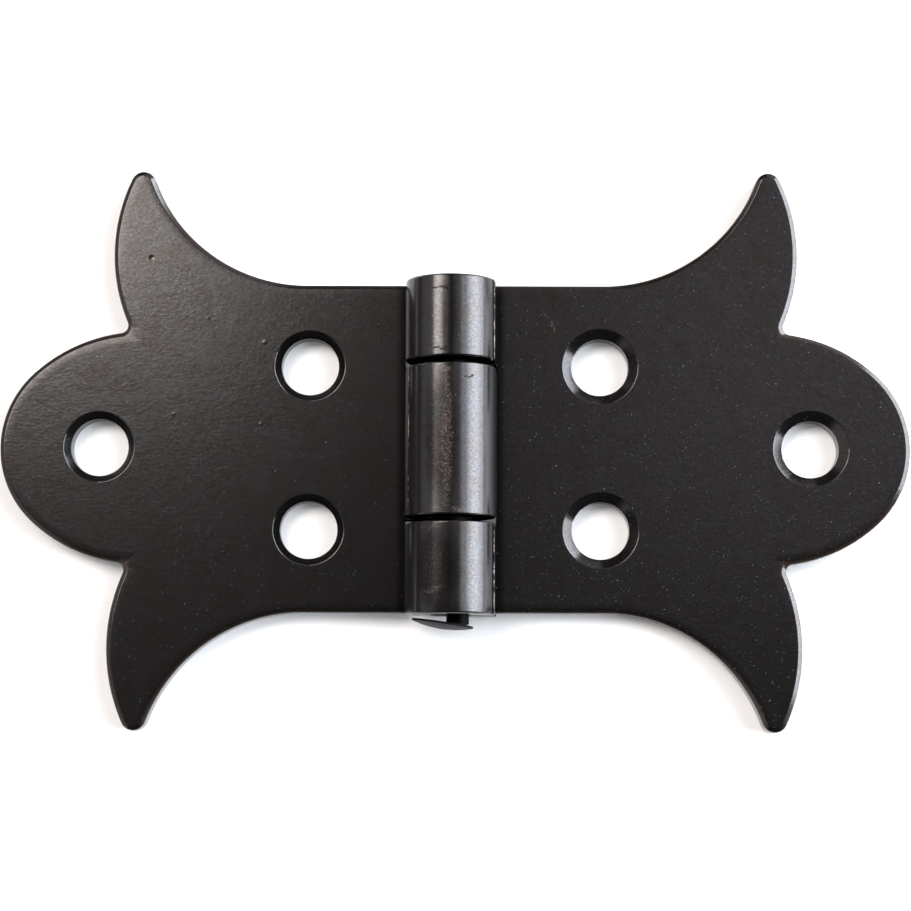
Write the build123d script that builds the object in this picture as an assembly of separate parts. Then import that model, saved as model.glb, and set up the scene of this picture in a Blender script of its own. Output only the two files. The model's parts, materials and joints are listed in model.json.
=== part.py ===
from build123d import *
import os
from math import cos, hypot, radians, sin, sqrt, tan

# Decorative strap hinge, lying open and flat. Each leaf is one piece of thick sheet whose
# inner end is rolled into knuckles, and a headed pin joins the two. X runs across the hinge,
# Y along the barrel and Z up from the backs of the leaves, midway between the two lobes.

# Sheet and pin
SHEET = 2.5
PIN_DIAMETER = 3.8
PIN_CLEARANCE = 0.05  # between the pin and each knuckle, all round
PIN_ASIDE = 0.4  # from the middle of the hinge to the pin, towards the left leaf

# Knuckles, from the top of the barrel down
TOP_KNUCKLE = 8.1
MIDDLE_KNUCKLE = 14.8
BOTTOM_KNUCKLE = 8.9
KNUCKLE_GAP = 0.55
KNUCKLE_ROUND = 0.2  # on the corners of each knuckle's ends
ROLL_TURN = 282.0  # degrees that the sheet turns from the flat leaf to its cut end
NOTCH_CLEARANCE = 0.05  # from a knuckle to the notch of the other leaf, seen from above
CREASE_RADIUS = 0.26  # of the groove along the cut end of the outer knuckles
CREASE_BACK = 34.0  # degrees from the cut end back to that groove

# Leaf outline, each reach measured from the middle of the hinge
STRAP_WIDTH = 32.6  # between the two straight edges beside the barrel
STRAP_REACH = 14.75  # to where the straight edges end
SCOOP_RADIUS = 16.4  # of the hollow curve up to each horn
HORN_SPAN = 55.7  # from the tip of one horn to the other
HORN_TIP_RADIUS = 1.25
HORN_BACK_RADIUS = 18.0
HORN_BACK_CENTRE = 19.6  # of that curve, from the middle line of the leaf
NOTCH_RADIUS = 0.8  # in the nick between a horn and the lobe
LEAF_REACH = 45.0  # to the end of the lobe
LOBE_END_RADIUS = 10.1
LOBE_SHOULDER_RADIUS = 15.45
LOBE_CHANGE = 46.7  # degrees off the middle line where the lobe's curve changes
BEVEL_WIDTH = 0.42  # of the dressed edge round the show face, seen from above
BEVEL_DROP = 0.26
BEVEL_ROUND = 0.15  # on both sides of that bevel
BACK_ROUND = 0.2  # on the edges of the back

# Screw holes
HOLE_DIAMETER = 5.7
LEFT_SINK_DIAMETER = 7.0  # of the countersinks in the left leaf, at the show face
LEFT_SINK_ANGLE = 82.0
RIGHT_SINK_DIAMETER = 7.5
RIGHT_SINK_ANGLE = 100.0
HOLE_RIM_ROUND = 0.15
HOLE_PAIR_REACH = 14.4  # from the middle of the hinge
HOLE_PAIR_SPACING = 16.3
LOBE_HOLE_REACH = 35.2  # from the middle of the hinge

# Ends of the pin
PIN_PROUD = 0.35  # of the barrel's upper end
PIN_TIP_ROUND = 0.5
NECK_DIAMETER = 2.2
NECK_OFFSET = 0.75  # towards the right leaf, as the pin was hammered over
NECK_INSET = 0.5  # length of the neck inside the lowest knuckle
HEAD_DIAMETER = 6.0
HEAD_OFFSET = 0.7  # towards the left leaf
HEAD_TILT = 8.0  # degrees
HEAD_DROP = 0.72  # from the barrel's lower end to the middle of the head's flat face
HEAD_RIM = 0.2  # thickness at the edge
HEAD_DOME = 0.45  # height of the domed end over that

BORE_RADIUS = PIN_DIAMETER / 2 + PIN_CLEARANCE
BARREL_RADIUS = BORE_RADIUS + SHEET
NOTCH_REACH = BARREL_RADIUS + NOTCH_CLEARANCE

BARREL_TOP = STRAP_WIDTH / 2
TOP_SPAN = (BARREL_TOP - TOP_KNUCKLE, BARREL_TOP)
MIDDLE_TOP = TOP_SPAN[0] - KNUCKLE_GAP
MIDDLE_SPAN = (MIDDLE_TOP - MIDDLE_KNUCKLE, MIDDLE_TOP)
BOTTOM_TOP = MIDDLE_SPAN[0] - KNUCKLE_GAP
BOTTOM_SPAN = (BOTTOM_TOP - BOTTOM_KNUCKLE, BOTTOM_TOP)
BARREL_BOTTOM = BOTTOM_SPAN[0]


def toward(start, end, distance):
    """The point at this distance from start on the line to end."""
    dx, dy = end[0] - start[0], end[1] - start[1]
    share = distance / hypot(dx, dy)
    return (start[0] + dx * share, start[1] + dy * share)


def between(a, reach_a, b, reach_b):
    """The point that lies reach_a from a and reach_b from b, to the left of the way from a to b."""
    gap = hypot(b[0] - a[0], b[1] - a[1])
    along = (reach_a**2 - reach_b**2 + gap**2) / (2 * gap)
    aside = sqrt(reach_a**2 - along**2)
    foot = toward(a, b, along)
    return (foot[0] - (b[1] - a[1]) / gap * aside, foot[1] + (b[0] - a[0]) / gap * aside)


def bow(centre, start, end):
    """The shorter arc about a centre from start to end."""
    radius = hypot(start[0] - centre[0], start[1] - centre[1])
    chord_middle = ((start[0] + end[0]) / 2, (start[1] + end[1]) / 2)
    return ThreePointArc(start, toward(centre, chord_middle, radius), end)


def half_outline(pin):
    """The edge of the upper half of a leaf, from its notch round to the end of the lobe."""
    edge = STRAP_WIDTH / 2
    scoop = (STRAP_REACH, edge + SCOOP_RADIUS)
    tip_height = HORN_SPAN / 2 - HORN_TIP_RADIUS
    tip_away = sqrt((SCOOP_RADIUS + HORN_TIP_RADIUS) ** 2 - (scoop[1] - tip_height) ** 2)
    tip = (STRAP_REACH + tip_away, tip_height)
    back_in = sqrt((HORN_BACK_RADIUS - HORN_TIP_RADIUS) ** 2 - (tip_height - HORN_BACK_CENTRE) ** 2)
    back = (tip[0] - back_in, HORN_BACK_CENTRE)
    turn = radians(LOBE_CHANGE)
    lobe_end = (LEAF_REACH - LOBE_END_RADIUS, 0)
    inward = LOBE_SHOULDER_RADIUS - LOBE_END_RADIUS
    shoulder = (lobe_end[0] - inward * cos(turn), -inward * sin(turn))
    nick = between(back, HORN_BACK_RADIUS + NOTCH_RADIUS, shoulder, LOBE_SHOULDER_RADIUS + NOTCH_RADIUS)

    scoop_start = (STRAP_REACH, edge)
    horn_start = toward(scoop, tip, SCOOP_RADIUS)
    horn_end = toward(back, tip, HORN_BACK_RADIUS)
    nick_start = toward(back, nick, HORN_BACK_RADIUS)
    nick_end = toward(shoulder, nick, LOBE_SHOULDER_RADIUS)
    lobe_change = toward(shoulder, lobe_end, LOBE_SHOULDER_RADIUS)
    return [
        Line((pin + NOTCH_REACH, edge), scoop_start),
        bow(scoop, scoop_start, horn_start),
        ThreePointArc(horn_start, (tip[0], tip[1] + HORN_TIP_RADIUS), horn_end),
        bow(back, horn_end, nick_start),
        bow(nick, nick_start, nick_end),
        bow(shoulder, nick_end, lobe_change),
        bow(lobe_end, lobe_change, (LEAF_REACH, 0)),
    ]


def screw_hole(reach, height, sink_diameter, sink_angle):
    """The space of one screw hole, sunk from the show face."""
    hole, rim = HOLE_DIAMETER / 2, sink_diameter / 2
    depth = (rim - hole) / tan(radians(sink_angle / 2))
    from_floor = (Align.CENTER, Align.CENTER, Align.MIN)
    shaft = Cylinder(hole, SHEET, align=from_floor)
    sink = Pos(0, 0, SHEET - depth) * Cone(hole, rim, depth, align=from_floor)
    return Pos(reach, height, 0) * (shaft + sink)


def flat_leaf(pin, sink_diameter, sink_angle):
    """The flat part of a leaf beyond its notches, with dressed edges and three screw holes."""
    upper = half_outline(pin)
    lower = [mirror(edge, about=Plane.XZ) for edge in upper]
    edge = STRAP_WIDTH / 2
    inner = Line((pin + NOTCH_REACH, -edge), (pin + NOTCH_REACH, edge))
    leaf = extrude(make_face([*upper, *lower, inner]), SHEET)
    face = leaf.faces().sort_by(Axis.Z)[-1]
    leaf = chamfer(face.edges().sort_by(Axis.X)[1:], BEVEL_WIDTH, BEVEL_DROP, reference=face)
    face_edges = leaf.faces().sort_by(Axis.Z)[-1].edges().sort_by(Axis.X)[1:]
    bevel_feet = leaf.edges().group_by(Axis.Z)[-3]
    leaf = fillet([*face_edges, *bevel_feet], BEVEL_ROUND)
    back_edges = leaf.faces().sort_by(Axis.Z)[0].edges().sort_by(Axis.X)[1:]
    leaf = fillet(back_edges, BACK_ROUND)
    upper_hole = (HOLE_PAIR_REACH, HOLE_PAIR_SPACING / 2)
    lower_hole = (HOLE_PAIR_REACH, -HOLE_PAIR_SPACING / 2)
    for reach, height in (upper_hole, lower_hole, (LOBE_HOLE_REACH, 0)):
        leaf -= screw_hole(reach, height, sink_diameter, sink_angle)
    rims = leaf.faces().sort_by(Axis.Z)[-1].edges().filter_by(lambda edge: edge.is_closed)
    return fillet(rims, HOLE_RIM_ROUND)


def knuckle(pin, span):
    """One knuckle: a strip of the sheet that runs under the pin and rolls back over it."""
    low, high = span
    strip = RectangleRounded(high - low, SHEET, KNUCKLE_ROUND)
    section = Plane((pin, (low + high) / 2, SHEET / 2), x_dir=(0, 1, 0), z_dir=(1, 0, 0)) * strip
    flat = extrude(section, NOTCH_REACH)
    return flat + revolve(section, Axis((pin, 0, BARREL_RADIUS), (0, 1, 0)), ROLL_TURN)


def crease(pin, span):
    """The groove that follows the cut end along one knuckle."""
    low, high = span
    turned = radians(ROLL_TURN - CREASE_BACK)
    groove = Cylinder(CREASE_RADIUS, high - low, rotation=(90, 0, 0))
    away, up = -BARREL_RADIUS * sin(turned), BARREL_RADIUS * (1 - cos(turned))
    return Pos(pin + away, (low + high) / 2, up) * groove


def leaf_double_knuckle():
    """The right leaf, which carries the top and bottom knuckles."""
    leaf = flat_leaf(-PIN_ASIDE, RIGHT_SINK_DIAMETER, RIGHT_SINK_ANGLE)
    for span in (TOP_SPAN, BOTTOM_SPAN):
        leaf += knuckle(-PIN_ASIDE, span) - crease(-PIN_ASIDE, span)
    return leaf


def leaf_single_knuckle():
    """The left leaf, which carries the middle knuckle."""
    leaf = flat_leaf(PIN_ASIDE, LEFT_SINK_DIAMETER, LEFT_SINK_ANGLE)
    return mirror(leaf + knuckle(PIN_ASIDE, MIDDLE_SPAN), about=Plane.YZ)


def hinge_pin():
    """The pin, with a plain upper end and a hammered head that sits askew below the barrel."""
    shaft_bottom = BARREL_BOTTOM + NECK_INSET
    shaft_length = BARREL_TOP + PIN_PROUD - shaft_bottom
    upward = Plane((-PIN_ASIDE, 0, BARREL_RADIUS), x_dir=(1, 0, 0), z_dir=(0, 1, 0))
    from_floor = (Align.CENTER, Align.CENTER, Align.MIN)
    shaft = Pos(0, 0, shaft_bottom) * Cylinder(PIN_DIAMETER / 2, shaft_length, align=from_floor)
    shaft = fillet(shaft.edges().sort_by(Axis.Z)[-1], min(PIN_TIP_ROUND, PIN_DIAMETER / 4))
    head_face = BARREL_BOTTOM - HEAD_DROP
    neck_length = shaft_bottom - head_face + HEAD_RIM
    neck = Pos(NECK_OFFSET, 0, shaft_bottom - neck_length)
    neck *= Cylinder(NECK_DIAMETER / 2, neck_length, align=from_floor)
    edge = HEAD_DIAMETER / 2
    dome_radius = (edge**2 + HEAD_DOME**2) / (2 * HEAD_DOME)
    profile = make_face([
        Line((0, 0), (edge, 0)),
        Line((edge, 0), (edge, -HEAD_RIM)),
        RadiusArc((edge, -HEAD_RIM), (0, -HEAD_RIM - HEAD_DOME), dome_radius),
        Line((0, -HEAD_RIM - HEAD_DOME), (0, 0)),
    ])
    head = revolve(Plane.XZ * profile, Axis.Z)
    head = Pos(-HEAD_OFFSET, 0, head_face) * Rot(0, HEAD_TILT, 0) * head
    return upward * (shaft + neck + head)


os.makedirs("parts", exist_ok=True)
export_step(leaf_double_knuckle(), "parts/leaf_double_knuckle.step")
export_step(leaf_single_knuckle(), "parts/leaf_single_knuckle.step")
export_step(hinge_pin(), "parts/hinge_pin.step")
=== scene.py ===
import json
import math

import bpy
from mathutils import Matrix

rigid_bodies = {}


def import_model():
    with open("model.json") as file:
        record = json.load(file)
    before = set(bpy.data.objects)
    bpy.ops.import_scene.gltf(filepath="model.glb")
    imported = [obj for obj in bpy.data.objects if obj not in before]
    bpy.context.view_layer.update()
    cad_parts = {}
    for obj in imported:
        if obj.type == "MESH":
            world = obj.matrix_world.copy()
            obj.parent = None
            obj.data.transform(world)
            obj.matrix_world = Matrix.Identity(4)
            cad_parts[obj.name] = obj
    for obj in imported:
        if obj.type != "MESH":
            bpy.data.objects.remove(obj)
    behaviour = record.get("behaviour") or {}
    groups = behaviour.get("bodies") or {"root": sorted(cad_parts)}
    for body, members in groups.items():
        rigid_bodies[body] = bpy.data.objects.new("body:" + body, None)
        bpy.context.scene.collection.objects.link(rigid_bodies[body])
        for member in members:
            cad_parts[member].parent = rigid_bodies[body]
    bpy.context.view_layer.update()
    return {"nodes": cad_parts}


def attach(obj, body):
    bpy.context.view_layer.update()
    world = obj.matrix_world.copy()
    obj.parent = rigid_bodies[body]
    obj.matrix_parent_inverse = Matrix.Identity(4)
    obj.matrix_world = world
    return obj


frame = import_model()
nodes = frame["nodes"]
for thing in bpy.data.objects:
    thing.select_set(False)


# --- Left leaf ------------------------------------------------------------------------------
# Cut from 2.5 mm mild steel sheet, tumbled until its face has a fine orange-peel, blackened in
# hot salts and waxed, which leaves it dark with a satin shine. The middle knuckle is rolled
# from the same sheet, and rust shows through along its crown.

def linear(hex_colour):
    """An sRGB hex colour as linear RGBA."""
    channels = [int(hex_colour[i:i + 2], 16) / 255 for i in (1, 3, 5)]
    return [c / 12.92 if c <= 0.04045 else ((c + 0.055) / 1.055) ** 2.4 for c in channels] + [1.0]


def add_node(tree, kind, inputs=None, **settings):
    """One shader node with its settings; an input is a value, a node or a node's output."""
    node = tree.nodes.new("ShaderNode" + kind)
    for name, value in settings.items():
        setattr(node, name, value)
    for name, value in (inputs or {}).items():
        if isinstance(value, bpy.types.Node):
            value = value.outputs[0]
        if isinstance(value, bpy.types.NodeSocket):
            tree.links.new(value, node.inputs[name])
        else:
            node.inputs[name].default_value = value
    return node


blackened = bpy.data.materials.new("waxed_blackened_steel")
blackened.use_nodes = True
tree = blackened.node_tree
tree.nodes.clear()
place = add_node(tree, "TexCoord")
millimetres = add_node(tree, "VectorMath", {0: place.outputs["Object"], 1: (1000, 1000, 1000)},
                       operation="MULTIPLY")
x_mm, y_mm, z_mm = add_node(tree, "SeparateXYZ", {0: millimetres}).outputs

# How far a point lies inside the leaf's cut edge, in millimetres. All four quarters of the
# hinge have one outline: the strap's straight edge and the scoop that ends in the horn's inner
# side, the horn's back, the lobe's shoulder and the lobe's round end
STRAP_EDGE, STRAP_REACH, SCOOP_RADIUS = 16.45, 14.75, 16.4
HORN_BACK, HORN_BACK_RADIUS, HORN_BACK_FOOT = (16.1, 19.6), 18.0, 12.0
SHOULDER, SHOULDER_RADIUS = (31.23, -3.89), 15.45
LOBE_END, LOBE_END_RADIUS, LOBE_CHANGE = (34.9, 0.0), 10.1, math.radians(46.7)


def inside_arc(along, up, centre, radius):
    """How far a point lies inside an arc about a centre."""
    point = add_node(tree, "CombineXYZ", {"X": along, "Y": up})
    reach = add_node(tree, "VectorMath", {0: point, 1: (*centre, 0.0)}, operation="DISTANCE")
    return add_node(tree, "Math", {0: radius, 1: reach.outputs["Value"]}, operation="SUBTRACT")


quarter = add_node(tree, "VectorMath", {0: millimetres}, operation="ABSOLUTE")
out, up = add_node(tree, "SeparateXYZ", {0: quarter}).outputs[:2]
past_strap = add_node(tree, "Math", {0: out, 1: STRAP_REACH}, operation="MAXIMUM")
in_scoop = inside_arc(past_strap, up, (STRAP_REACH, STRAP_EDGE + SCOOP_RADIUS), SCOOP_RADIUS)
from_scoop = add_node(tree, "Math", {0: in_scoop, 1: -1.0}, operation="MULTIPLY")
past_back = add_node(tree, "Math", {0: out, 1: HORN_BACK[0]}, operation="MAXIMUM")
above_foot = add_node(tree, "Math", {0: up, 1: HORN_BACK_FOOT}, operation="MAXIMUM")
from_back = inside_arc(past_back, above_foot, HORN_BACK, HORN_BACK_RADIUS)
in_horn = add_node(tree, "Math", {0: from_scoop, 1: from_back}, operation="MINIMUM")
past_end = add_node(tree, "Math", {0: out, 1: LOBE_END[0]}, operation="SUBTRACT")
change = add_node(tree, "Math", {0: past_end, 1: math.tan(LOBE_CHANGE)}, operation="MULTIPLY")
near_end = add_node(tree, "Math", {0: change, 1: up}, operation="GREATER_THAN")
in_lobe = add_node(tree, "Mix", {0: near_end, 2: inside_arc(out, up, SHOULDER, SHOULDER_RADIUS),
                                 3: inside_arc(out, up, LOBE_END, LOBE_END_RADIUS)})
from_edge = add_node(tree, "Math", {0: in_horn, 1: in_lobe}, operation="MAXIMUM")

# The face falls away over its last millimetre or so, where the tumbling wore it
EDGE_FALL, EDGE_FALL_WIDTH = 0.045, 1.2
worn = add_node(tree, "MapRange", {"Value": from_edge, "From Min": 0.0,
                                   "From Max": EDGE_FALL_WIDTH, "To Min": 1.0, "To Max": 0.0})
worn = add_node(tree, "Math", {0: worn, 1: 2.0}, operation="POWER")
relief = add_node(tree, "Math", {0: worn, 1: -EDGE_FALL}, operation="MULTIPLY")

# Orange-peel: ticks about 0.3 mm wide and 0.2 mm high, on a slow swell
PEEL_PER_MM, PEEL_HEIGHT = 4.6, 0.006
SWELL_PER_MM, SWELL_HEIGHT = 0.8, 0.005
stretched = add_node(tree, "Mapping", {"Vector": millimetres, "Scale": (0.7, 1.0, 1.0)})
peel = add_node(tree, "TexNoise", {"Vector": stretched, "Scale": PEEL_PER_MM, "Detail": 2.0,
                                   "Roughness": 0.6})
swell = add_node(tree, "TexNoise", {"Vector": millimetres, "Scale": SWELL_PER_MM,
                                    "Detail": 2.0})
for waves, height in ((peel, PEEL_HEIGHT), (swell, SWELL_HEIGHT)):
    relief = add_node(tree, "Math", {0: waves, 1: height, 2: relief}, operation="MULTIPLY_ADD")

# Marks of use are ragged ellipses, whose rims wander by up to half a millimetre
WANDER_PER_MM, WANDER_REACH = 1.6, 0.9
wander = add_node(tree, "TexNoise", {"Vector": millimetres, "Scale": WANDER_PER_MM,
                                     "Detail": 2.0})
wander = add_node(tree, "VectorMath", {0: wander.outputs["Color"], 1: (0.5, 0.5, 0.5)},
                  operation="SUBTRACT")
ragged = add_node(tree, "VectorMath", {0: wander, 1: (WANDER_REACH, WANDER_REACH, 0.0),
                                       2: millimetres}, operation="MULTIPLY_ADD")


def mark(middle, half_lengths, turn=0.0, soft=0.7, rim=ragged):
    """1 in the middle of a mark, falling to 0 at its rim; millimetres and degrees."""
    near = add_node(tree, "Mapping", {"Vector": rim, "Location": middle, "Scale": half_lengths,
                                      "Rotation": (0.0, 0.0, math.radians(turn))},
                    vector_type="TEXTURE")
    reach = add_node(tree, "VectorMath", {0: near}, operation="LENGTH")
    return add_node(tree, "MapRange",
                    {"Value": reach.outputs["Value"], "From Min": 1.0 - soft, "From Max": 1.0,
                     "To Min": 1.0, "To Max": 0.0}, interpolation_type="SMOOTHSTEP")


# Two creases that the rolling left on the top knuckle and a nick in the middle one, each with
# its middle, half lengths and turn
CREASE_DEPTH = 0.08
for middle, half_lengths, turn in (((-1.6, 14.85, 8.8), (1.2, 0.12, 2.0), 3),
                                   ((-1.5, 8.95, 8.8), (1.1, 0.11, 2.0), -2),
                                   ((1.35, 6.2, 8.5), (0.7, 0.1, 2.0), 8)):
    crease = mark(middle, half_lengths, turn)
    relief = add_node(tree, "Math", {0: crease, 1: -CREASE_DEPTH, 2: relief},
                      operation="MULTIPLY_ADD")

# A dent and four small raised spots in the left leaf's face: middle, radius and height
for middle, radius, height in (((-30.3, 19.0, 2.5), 0.34, -0.025),
                               ((-18.9, 10.5, 2.5), 0.3, 0.018),
                               ((-19.2, 2.3, 2.5), 0.24, 0.015),
                               ((-24.6, 12.9, 2.5), 0.22, 0.01),
                               ((-27.8, 3.3, 2.5), 0.22, 0.01)):
    spot = mark(middle, (radius, radius, 1.0), soft=0.9, rim=millimetres)
    relief = add_node(tree, "Math", {0: spot, 1: height, 2: relief}, operation="MULTIPLY_ADD")

# The heights above are in millimetres, and the bump is in metres
surface = add_node(tree, "Bump", {"Height": relief, "Strength": 1.0, "Distance": 0.001})

# Brown and blue-grey bloom in the wax tints its shine, in patches about 2 mm across under a
# grain about 0.2 mm across
PATCHES_PER_MM, GRAIN_PER_MM = 0.45, 5.0
BROWN_BLOOM, BLUE_BLOOM = (0.94, 0.87, 0.85, 1.0), (1.0, 0.99, 1.04, 1.0)
patches = add_node(tree, "TexNoise", {"Vector": millimetres, "Scale": PATCHES_PER_MM,
                                      "Detail": 4.0, "Roughness": 0.6})
bloom = add_node(tree, "ValToRGB", {"Fac": patches})
for stop, position, tint in zip(bloom.color_ramp.elements, (0.34, 0.62),
                                (BROWN_BLOOM, BLUE_BLOOM)):
    stop.position, stop.color = position, tint
grain = add_node(tree, "TexNoise", {"Vector": stretched, "Scale": GRAIN_PER_MM, "Detail": 2.0,
                                    "Roughness": 0.7})
grain = add_node(tree, "MapRange", {"Value": grain, "From Min": 0.35, "From Max": 0.65,
                                    "To Min": 0.8, "To Max": 1.2})
shine_tint = add_node(tree, "VectorMath", {0: bloom, "Scale": grain}, operation="SCALE")

# Rust: rubbed through along the crown of the middle knuckle and in smaller places elsewhere,
# each with its middle, half lengths, turn and strength, and broken into grains 0.2 mm across
rusty = mark((-0.75, 0.3, 8.9), (0.7, 8.3, 2.5), soft=0.6)
for middle, half_lengths, turn, strength in (((-1.9, 0.3, 8.6), (0.9, 8.5, 2.5), 0, 0.2),
                                             ((-2.0, -14.3, 8.6), (1.3, 0.45, 2.5), 12, 0.9),
                                             ((-2.2, -12.0, 8.6), (1.4, 3.6, 2.5), 0, 0.2),
                                             ((-2.5, -8.4, 8.6), (1.6, 0.4, 2.5), 0, 0.3),
                                             ((0.5, -6.7, 8.9), (1.1, 0.45, 2.5), 0, 0.8),
                                             ((-0.9, 6.9, 8.9), (0.8, 0.5, 2.5), 0, 0.9),
                                             ((9.7, 12.3, 2.5), (1.0, 0.16, 1.0), 118, 0.7),
                                             ((8.9, 13.3, 2.5), (0.8, 0.12, 1.0), 130, 0.5)):
    patch = mark(middle, half_lengths, turn)
    patch = add_node(tree, "Math", {0: patch, 1: strength}, operation="MULTIPLY")
    rusty = add_node(tree, "Math", {0: rusty, 1: patch}, operation="MAXIMUM")
RUST_PER_MM = 5.5
grains = add_node(tree, "TexNoise", {"Vector": millimetres, "Scale": RUST_PER_MM,
                                     "Detail": 2.0, "Roughness": 0.6})
grains = add_node(tree, "MapRange", {"Value": grains, "From Min": 0.46, "From Max": 0.66})
rust = add_node(tree, "Math", {0: rusty, 1: grains}, operation="MULTIPLY")

# Fine grit left in the finish: paler dots up to 0.1 mm wide, the more of them on the right leaf
GRIT_PER_MM, MORE_ON_RIGHT = 7.0, 0.02
grit = add_node(tree, "TexNoise", {"Vector": millimetres, "Scale": GRIT_PER_MM, "Detail": 1.0})
rightness = add_node(tree, "MapRange", {"Value": x_mm, "From Min": -5.0, "From Max": 10.0,
                                        "To Min": 0.0, "To Max": MORE_ON_RIGHT})
grit = add_node(tree, "Math", {0: grit, 1: rightness}, operation="ADD")
grit = add_node(tree, "MapRange", {"Value": grit, "From Min": 0.755, "From Max": 0.82})
grit = add_node(tree, "Math", {0: grit, 1: patches}, operation="MULTIPLY")

# The cut edge is worn to brown where it meets the show face
RIM_Z, RIM_DEPTH = 2.3, 0.4
at_rim = add_node(tree, "Math", {0: z_mm, 1: RIM_Z, 2: RIM_DEPTH}, operation="COMPARE")
brown_edge = add_node(tree, "MapRange", {"Value": from_edge, "From Min": 0.1, "From Max": 0.5,
                                         "To Min": 0.8, "To Max": 0.0},
                      interpolation_type="SMOOTHSTEP")
brown_edge = add_node(tree, "Math", {0: brown_edge, 1: at_rim}, operation="MULTIPLY")

# The black oxide, with the grit, the brown edge and the rust over it
oxide = linear("#0a0908")
for amount, colour in ((grit, "#8e9094"), (brown_edge, "#2e241d"), (rust, "#584a43")):
    oxide = add_node(tree, "Mix", {0: amount, "A": oxide, "B": linear(colour)},
                     data_type="RGBA").outputs[2]

# Painted shade: the shine is taken away in the gaps between the knuckles and in the corners
# beside the barrel, and lowered on the barrel's lower flanks, where shade falls
PIN_X, PIN_Z = -0.0004, 0.00445
GAP_MIDDLES, GAP_HALF, GAP_REACH = (7.925, -7.425), 0.3, 4.6
BARREL_SIDE, FACE_Z, FLANK_FOOT = 4.4, 2.6, 3.0
off_pin = add_node(tree, "Math", {0: x_mm, 1: PIN_X * 1000}, operation="SUBTRACT")
off_pin = add_node(tree, "Math", {0: off_pin}, operation="ABSOLUTE")
top_gap, bottom_gap = [add_node(tree, "Math", {0: y_mm, 1: middle, 2: GAP_HALF},
                                operation="COMPARE") for middle in GAP_MIDDLES]
gaps = add_node(tree, "Math", {0: top_gap, 1: bottom_gap}, operation="ADD")
corner = add_node(tree, "MapRange", {"Value": off_pin, "From Min": 4.7, "From Max": 5.6,
                                     "To Min": 0.75, "To Max": 0.0},
                  interpolation_type="SMOOTHSTEP")
flanks = add_node(tree, "MapRange", {"Value": z_mm, "From Min": 5.4, "From Max": 6.9,
                                     "To Min": 0.6, "To Max": 0.0},
                  interpolation_type="SMOOTHSTEP")
painted_shade = 0.0
for amount, limits in ((gaps, (("LESS_THAN", off_pin, GAP_REACH),)),
                       (corner, (("GREATER_THAN", off_pin, BARREL_SIDE),
                                 ("LESS_THAN", z_mm, FACE_Z))),
                       (flanks, (("GREATER_THAN", z_mm, FLANK_FOOT),))):
    for test, distance, limit in limits:
        within = add_node(tree, "Math", {0: distance, 1: limit}, operation=test)
        amount = add_node(tree, "Math", {0: amount, 1: within}, operation="MULTIPLY")
    painted_shade = add_node(tree, "Math", {0: painted_shade, 1: amount}, operation="MAXIMUM")
# What is left of the shine outside the painted shade
unshaded = add_node(tree, "Math", {0: 1.0, 1: painted_shade}, operation="SUBTRACT")

# The barrel's crown shines less over the rubbed middle knuckle and over the browned bottom one,
# from wear.
# A strip on the top knuckle and the inner rim of the left leaf's upper horn shine less as painted
# shade
SHINE, DULLING = 0.5, 0.34
wear_and_painted_shade = 0.0
for middle, half_lengths, turn, soft, rim in (
        ((-1.3, 0.3, 8.7), (2.2, 8.9, 2.5), 0, 0.6, ragged),
        ((-1.8, -12.2, 8.7), (2.9, 5.4, 2.5), 0, 0.5, ragged),
        ((-0.6, 12.25, 8.7), (0.95, 9.0, 2.5), 0, 0.6, millimetres),
        ((-28.8, 24.7, 2.3), (3.4, 0.8, 1.5), -61, 0.7, millimetres)):
    dull_mark = mark(middle, half_lengths, turn, soft, rim)
    wear_and_painted_shade = add_node(tree, "Math", {0: wear_and_painted_shade, 1: dull_mark}, operation="MAXIMUM")
shine_left = add_node(tree, "Math", {0: wear_and_painted_shade, 1: -DULLING, 2: SHINE},
                      operation="MULTIPLY_ADD")
shine_level = add_node(tree, "Math", {0: unshaded, 1: shine_left}, operation="MULTIPLY")

# The barrel is a little rougher than the tumbled faces, and rust is dull
FACE_ROUGHNESS, BARREL_ROUGHNESS, RUST_ROUGHNESS = 0.18, 0.2, 0.1
risen = add_node(tree, "MapRange", {"Value": z_mm, "From Min": 2.8, "From Max": 4.2,
                                    "To Min": FACE_ROUGHNESS, "To Max": BARREL_ROUGHNESS},
                 interpolation_type="SMOOTHSTEP")
dullness = add_node(tree, "Math", {0: rusty, 1: RUST_ROUGHNESS, 2: risen},
                    operation="MULTIPLY_ADD")
steel = add_node(tree, "BsdfPrincipled",
                 {"Base Color": oxide, "Metallic": 0.0, "IOR": 1.57,
                  "Specular Tint": shine_tint, "Specular IOR Level": shine_level,
                  "Roughness": dullness, "Normal": surface})
add_node(tree, "OutputMaterial", {"Surface": steel})

left_leaf = nodes["leaf_single_knuckle"]
left_leaf.data.materials.clear()
left_leaf.data.materials.append(blackened)

# A ragged burr runs along each knuckle, where the rolled edge was dressed with a file: bright
# steel in spots about 0.7 mm across, with black left between them
SPOTS_PER_M = 1500.0
bright_burr = bpy.data.materials.new("bright_filed_burr")
bright_burr.use_nodes = True
tree = bright_burr.node_tree
tree.nodes.clear()
place = add_node(tree, "TexCoord")
spots = add_node(tree, "TexNoise", {"Vector": place.outputs["Object"], "Scale": SPOTS_PER_M,
                                    "Detail": 2.0})
filed = add_node(tree, "ValToRGB", {"Fac": spots})
for stop, position, colour in zip(filed.color_ramp.elements, (0.45, 0.66),
                                  ("#1d1a18", "#8f8883")):
    stop.position, stop.color = position, linear(colour)
burr_steel = add_node(tree, "BsdfPrincipled",
                      {"Base Color": filed, "Metallic": 1.0, "Roughness": 0.42})
add_node(tree, "OutputMaterial", {"Surface": burr_steel})

# The burr's foot lies just inside the barrel, this far from the pin's middle, in metres
BURR_FOOT, BURR_HEIGHT, BURR_UNEVENNESS, BURR_STEPS = 0.00437, 0.00009, 0.00004, 64


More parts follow.
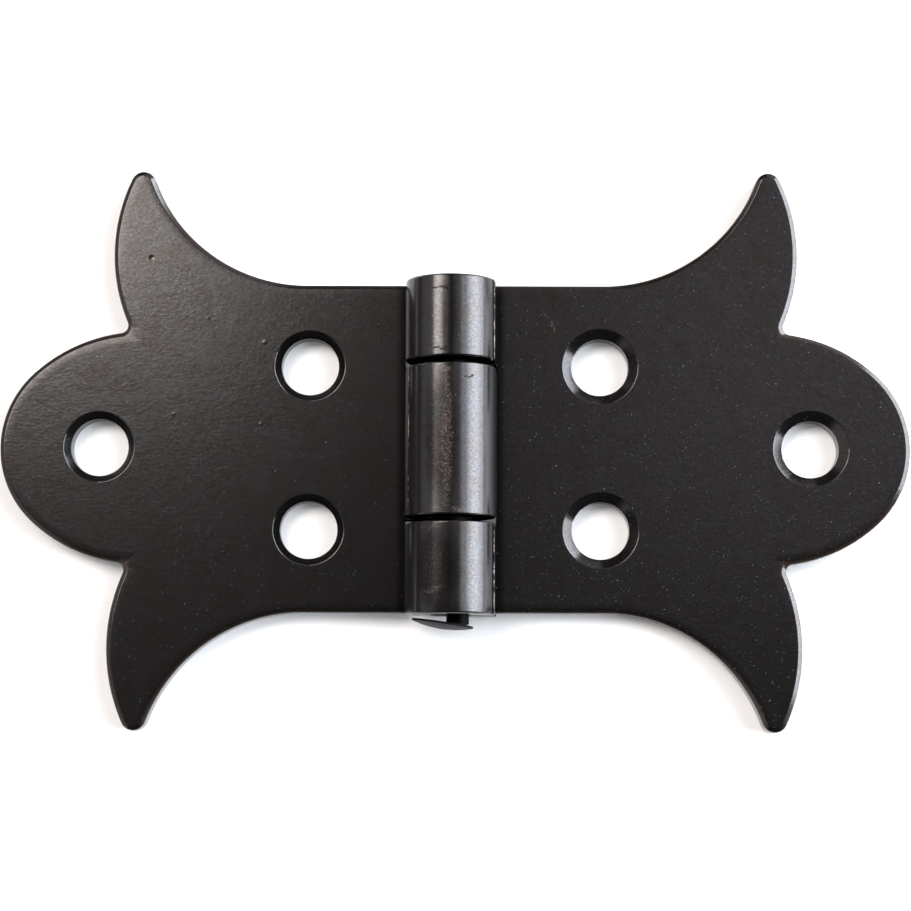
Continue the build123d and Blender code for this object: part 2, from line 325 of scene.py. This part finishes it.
def burr(name, span, turn, width, seed):
    """A thin uneven strip along the barrel, turned about the pin from the top of the barrel."""
    bpy.ops.mesh.primitive_grid_add(x_subdivisions=2, y_subdivisions=BURR_STEPS, size=1.0)
    strip = bpy.context.object
    strip.name = name
    bpy.ops.object.mode_set(mode="EDIT")
    bpy.ops.transform.resize(value=(width, span[1] - span[0], 1.0), center_override=(0, 0, 0))
    bpy.ops.mesh.extrude_region_move(TRANSFORM_OT_translate={"value": (0, 0, BURR_HEIGHT)})
    bpy.ops.mesh.select_all(action="SELECT")
    bpy.ops.transform.vertex_random(offset=BURR_UNEVENNESS, uniform=0.6, seed=seed)
    bpy.ops.transform.translate(value=(0, (span[0] + span[1]) / 2, BURR_FOOT))
    bpy.ops.transform.rotate(value=math.radians(turn), orient_axis="Y", center_override=(0, 0, 0))
    bpy.ops.transform.translate(value=(PIN_X, 0, PIN_Z))
    bpy.ops.mesh.normals_make_consistent(inside=False)
    bpy.ops.object.mode_set(mode="OBJECT")
    bpy.ops.object.shade_smooth()
    strip.data.materials.append(bright_burr)
    strip.select_set(False)
    return strip


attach(burr("burr_on_middle_knuckle", (-0.007, 0.0075), 67.0, 0.00013, 5), "swinging_leaf")


# --- Right leaf -----------------------------------------------------------------------------
# The same steel sheet and finish, with the top and bottom knuckles rolled from it. Its rolled
# edges were filed too, and kept a wider burr.

right_leaf = nodes["leaf_double_knuckle"]
right_leaf.data.materials.clear()
right_leaf.data.materials.append(blackened)
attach(burr("burr_on_top_knuckle", (0.0084, 0.0161), -74.0, 0.00022, 2), "fixed_leaf")
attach(burr("burr_on_bottom_knuckle", (-0.01645, -0.0079), -74.0, 0.00026, 9), "fixed_leaf")


# --- Hinge pin ------------------------------------------------------------------------------
# A steel pin whose end was hammered into a thin, askew head. Its black forge scale is left
# rough, so the head hardly shines.

DIMPLES_PER_M, DIMPLE_DEPTH = 1400.0, 0.00003
forge_scale = bpy.data.materials.new("black_forge_scale")
forge_scale.use_nodes = True
tree = forge_scale.node_tree
tree.nodes.clear()
place = add_node(tree, "TexCoord")
hammered = add_node(tree, "TexNoise", {"Vector": place.outputs["Object"],
                                       "Scale": DIMPLES_PER_M, "Detail": 2.0})
dimples = add_node(tree, "Bump", {"Height": hammered, "Strength": 1.0,
                                  "Distance": DIMPLE_DEPTH})
scale = add_node(tree, "BsdfPrincipled",
                 {"Base Color": linear("#050505"), "Roughness": 0.45,
                  "Specular IOR Level": 0.04, "Normal": dimples})
add_node(tree, "OutputMaterial", {"Surface": scale})

pin = nodes["hinge_pin"]
pin.data.materials.clear()
pin.data.materials.append(forge_scale)


# --- Table top, light and camera --------------------------------------------------------------
# A white sheet of card lies under the hinge. A warm panel hangs beyond the left leaf, a cool
# wall of light stands on the right, and the camera is almost overhead.

CARD_GLOW, ROOM_GLOW = 0.11, 0.2
bpy.ops.object.select_all(action="DESELECT")
bpy.ops.mesh.primitive_plane_add(size=6.0, location=(0, 0, 0))
floor = bpy.context.object
floor.name = "floor"
card = bpy.data.materials.new("white_card")
card.use_nodes = True
tree = card.node_tree
tree.nodes.clear()
ray = add_node(tree, "LightPath")
seen = ray.outputs["Is Camera Ray"]
for other in ("Is Glossy Ray", "Is Transmission Ray"):
    seen = add_node(tree, "Math", {0: seen, 1: ray.outputs[other]}, operation="MAXIMUM")
glow = add_node(tree, "Math", {0: seen, 1: CARD_GLOW}, operation="MULTIPLY")
paper = add_node(tree, "BsdfDiffuse", {"Color": linear("#f4f4f4")})
paper_glow = add_node(tree, "Emission", {"Color": linear("#ffffff"), "Strength": glow})
lit_paper = add_node(tree, "AddShader", {0: paper, 1: paper_glow})

# In reflections the table ends a hand's breadth to the left, with the dark room beyond
table = add_node(tree, "TexCoord")
table = add_node(tree, "SeparateXYZ", {0: table.outputs["Object"]})
beyond = add_node(tree, "MapRange", {"Value": table.outputs["X"], "From Min": -0.055,
                                     "From Max": -0.09})
beyond = add_node(tree, "Math", {0: beyond, 1: ray.outputs["Is Glossy Ray"]},
                  operation="MULTIPLY")
dark_room = add_node(tree, "Emission", {"Strength": ROOM_GLOW})
table_top = add_node(tree, "MixShader", {0: beyond, 1: lit_paper, 2: dark_room})
add_node(tree, "OutputMaterial", {"Surface": table_top})
floor.data.materials.append(card)

# The room is dim, with one paler wall at the far right and one on the left above the table's
# edge: each has its brightness, and on two axes where it starts and where it is full
ROOM_LEVEL = 0.06
world = bpy.data.worlds.new("studio")
bpy.context.scene.world = world
world.use_nodes = True
tree = world.node_tree
tree.nodes.clear()
sky = add_node(tree, "TexCoord")
towards = add_node(tree, "SeparateXYZ", {0: sky.outputs["Generated"]})
level = ROOM_LEVEL
for brightness, reaches in ((0.65, (("X", -0.02, 0.12), ("Y", 0.0, 0.14))),
                            (0.75, (("X", -0.5, -0.75), ("Z", 0.0, 0.35)))):
    sides = [add_node(tree, "MapRange", {"Value": towards.outputs[axis], "From Min": start,
                                         "From Max": full}, interpolation_type="SMOOTHSTEP")
             for axis, start, full in reaches]
    wall = add_node(tree, "Math", {0: sides[0], 1: sides[1]}, operation="MULTIPLY")
    level = add_node(tree, "Math", {0: wall, 1: brightness, 2: level},
                     operation="MULTIPLY_ADD")
backdrop = add_node(tree, "Background", {"Color": (1.06, 1.0, 1.02, 1.0), "Strength": level})
add_node(tree, "OutputWorld", {"Surface": backdrop})


def soft_light(name, middle, turn, width, height, radiance, colour):
    """A rectangular diffusing panel that shines at an even level, out of the camera's sight."""
    panel = bpy.data.lights.new(name, "AREA")
    panel.shape = "RECTANGLE"
    panel.size = width
    panel.size_y = height
    panel.energy = radiance * math.pi * width * height
    panel.color = colour
    lamp = bpy.data.objects.new(name, panel)
    bpy.context.scene.collection.objects.link(lamp)
    lamp.location = middle
    lamp.rotation_euler = [math.radians(a) for a in turn]
    lamp.visible_camera = False


# The warm panel hangs level, 2 m up, and its right-hand end is weaker
soft_light("warm_panel", (-1.33, 0.91, 2.0), (0, 0, 5), 1.14, 1.2, 11.5, (1.05, 1.0, 0.95))
soft_light("warm_panel_end", (-0.505, 0.935, 2.0), (0, 0, 0), 0.51, 1.15, 6.8,
           (1.07, 1.0, 0.94))
# The cool wall stands 2 m to the right in four bands, each with its foot, its top and its
# radiance, and is brightest in the second
WALL_X, WALL_Y, WALL_WIDTH, COOL = 2.0, 0.85, 2.7, (0.94, 1.0, 1.07)
for name, low, high, radiance in (("cool_panel_foot", 0.0, 0.5, 8.0),
                                  ("cool_panel", 0.5, 1.5, 12.5),
                                  ("cool_panel_head", 1.5, 2.1, 8.5),
                                  ("cool_panel_top", 2.1, 4.0, 2.9)):
    soft_light(name, (WALL_X, WALL_Y, (low + high) / 2), (0, 90, 0), high - low, WALL_WIDTH,
               radiance, COOL)

camera_data = bpy.data.cameras.new("camera")
camera_data.lens = 87.91
camera_data.sensor_width = 36.0
camera_data.clip_start = 0.01
camera = bpy.data.objects.new("camera", camera_data)
bpy.context.scene.collection.objects.link(camera)
camera.location = (0.000858, -0.026229, 0.220735)
camera.rotation_euler = [math.radians(a) for a in (6.6533, 0.1802, 0.2102)]
bpy.context.scene.camera = camera
bpy.context.scene.view_settings.view_transform = "Standard"
